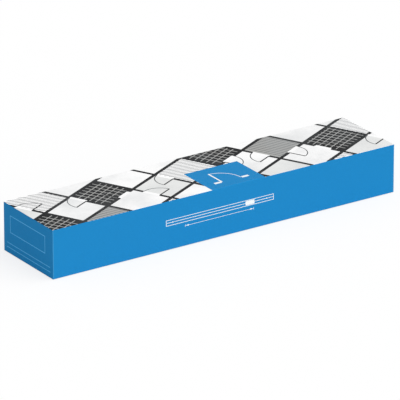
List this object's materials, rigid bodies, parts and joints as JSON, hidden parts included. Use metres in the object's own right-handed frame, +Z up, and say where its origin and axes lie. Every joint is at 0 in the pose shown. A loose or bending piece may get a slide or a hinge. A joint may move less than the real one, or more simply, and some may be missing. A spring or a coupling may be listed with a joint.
{
  "type": "boxed slide rail door closer",
  "caption": "Long flat retail carton with a hinged full-depth lid, holding a slide rail door closer: rack and pinion body, arm, rail and fixings in die-cut pads.",
  "frame": {"origin": "middle of the carton's underside, on the surface that it stands on", "axes": "+X along the carton, from its left end to its right end; the front is -Y and the lid's fold is at +Y; +Z up"},
  "size_m": [0.5, 0.11, 0.064],
  "materials": {
    "printed_board": "offset printed and varnished micro-flute board",
    "tray_board": "micro-flute board, printed outside and plain inside",
    "pad_board": "brown corrugated board, die cut",
    "leaflet_paper": "folded offset paper",
    "die_cast_aluminium": "die cast and shot blasted",
    "silver_cover": "moulded, silver painted",
    "machined_steel": "turned and milled",
    "spring_steel": "wound, oil tempered",
    "seal_rubber": "moulded",
    "valve_brass": "turned",
    "rail_aluminium": "extruded and anodised",
    "moulded_plastic": "injection moulded",
    "slide_polymer": "moulded acetal",
    "painted_arm": "forged steel, silver powder coat",
    "zinc_steel": "zinc plated",
    "black_steel": "black oxide"
  },
  "bodies": {
    "packed_tray": {"tray_floor": "tray_board", "tray_front_wall": "tray_board", "tray_back_wall": "tray_board", "tray_left_wall": "tray_board", "tray_right_wall": "tray_board", "tray_glue_flaps": "tray_board", "bottom_pad": "pad_board", "middle_pad": "pad_board", "top_pad": "pad_board", "installation_leaflet": "leaflet_paper", "closer_housing": "die_cast_aluminium", "closer_cover": "silver_cover", "valve_end_plug": "machined_steel", "spring_end_plug": "machined_steel", "end_plug_seals": "seal_rubber", "outer_spring": "spring_steel", "inner_spring": "spring_steel", "spindle_bearing_front": "machined_steel", "spindle_bearing_rear": "machined_steel", "spindle_seal_front": "seal_rubber", "spindle_seal_rear": "seal_rubber", "spindle_nut_front": "machined_steel", "spindle_nut_rear": "machined_steel", "slide_rail": "rail_aluminium", "rail_end_cap_left": "moulded_plastic", "rail_end_cap_right": "moulded_plastic", "rail_buffer": "seal_rubber", "slide_arm": "painted_arm", "arm_stud": "machined_steel", "arm_screw": "zinc_steel", "body_screws": "zinc_steel", "rail_screws": "zinc_steel", "hex_key": "black_steel"},
    "lid": {"lid_top_panel": "printed_board", "lid_front_skirt": "printed_board", "lid_left_skirt": "printed_board", "lid_right_skirt": "printed_board", "lid_glue_flaps": "printed_board"},
    "spindle": {"pinion_spindle": "machined_steel", "spindle_cap": "moulded_plastic"},
    "piston": {"rack_piston": "machined_steel", "check_valve": "valve_brass"},
    "adjuster": {"spring_adjuster": "machined_steel"},
    "preload_plate": {"spring_plate": "machined_steel"},
    "slider": {"slide_block": "slide_polymer", "slide_block_bush": "machined_steel"},
    "closing_valve": {"closing_speed_valve": "valve_brass"},
    "latching_valve": {"latching_speed_valve": "valve_brass"}
  },
  "joints": [
    {"name": "lid_hinge", "type": "hinge", "parent": "packed_tray", "child": "lid", "pos_m": [0, 0.05525, 0.0628], "axis": [-1, 0, 0], "range_deg": [0, 214]},
    {"name": "piston_slide", "type": "slide", "parent": "packed_tray", "child": "piston", "axis": [1, 0, 0], "range_m": [0, 0.02356], "stiffness_N_per_m": 50, "springref_m": -0.02, "deforming": ["outer_spring", "inner_spring"]},
    {"name": "spindle_turn", "type": "hinge", "parent": "packed_tray", "child": "spindle", "pos_m": [-0.15142, 0.0162, 0.0337], "axis": [0, -1, 0], "range_deg": [0, 150.2]},
    {"name": "preload_slide", "type": "slide", "parent": "packed_tray", "child": "preload_plate", "axis": [-1, 0, 0], "range_m": [0, 0.008], "deforming": ["outer_spring", "inner_spring"]},
    {"name": "adjuster_turn", "type": "hinge", "parent": "packed_tray", "child": "adjuster", "pos_m": [-0.03342, 0.0162, 0.0337], "axis": [1, 0, 0], "range_deg": [0, 2305]},
    {"name": "slider_travel", "type": "slide", "parent": "packed_tray", "child": "slider", "axis": [1, 0, 0], "range_m": [-0.2475, 0.1195]},
    {"name": "closing_valve_turn", "type": "hinge", "parent": "packed_tray", "child": "closing_valve", "pos_m": [-0.21638, -0.0028, 0.0467], "axis": [-1, 0, 0], "range_deg": [-180, 180]},
    {"name": "latching_valve_turn", "type": "hinge", "parent": "packed_tray", "child": "latching_valve", "pos_m": [-0.21638, 0.0352, 0.0467], "axis": [-1, 0, 0], "range_deg": [-180, 180]}
  ],
  "couplings": [
    {"joint": "spindle_turn", "follows": "piston_slide", "rad_per_m": 111.11},
    {"joint": "adjuster_turn", "follows": "preload_slide", "rad_per_m": 5026.5}
  ]
}
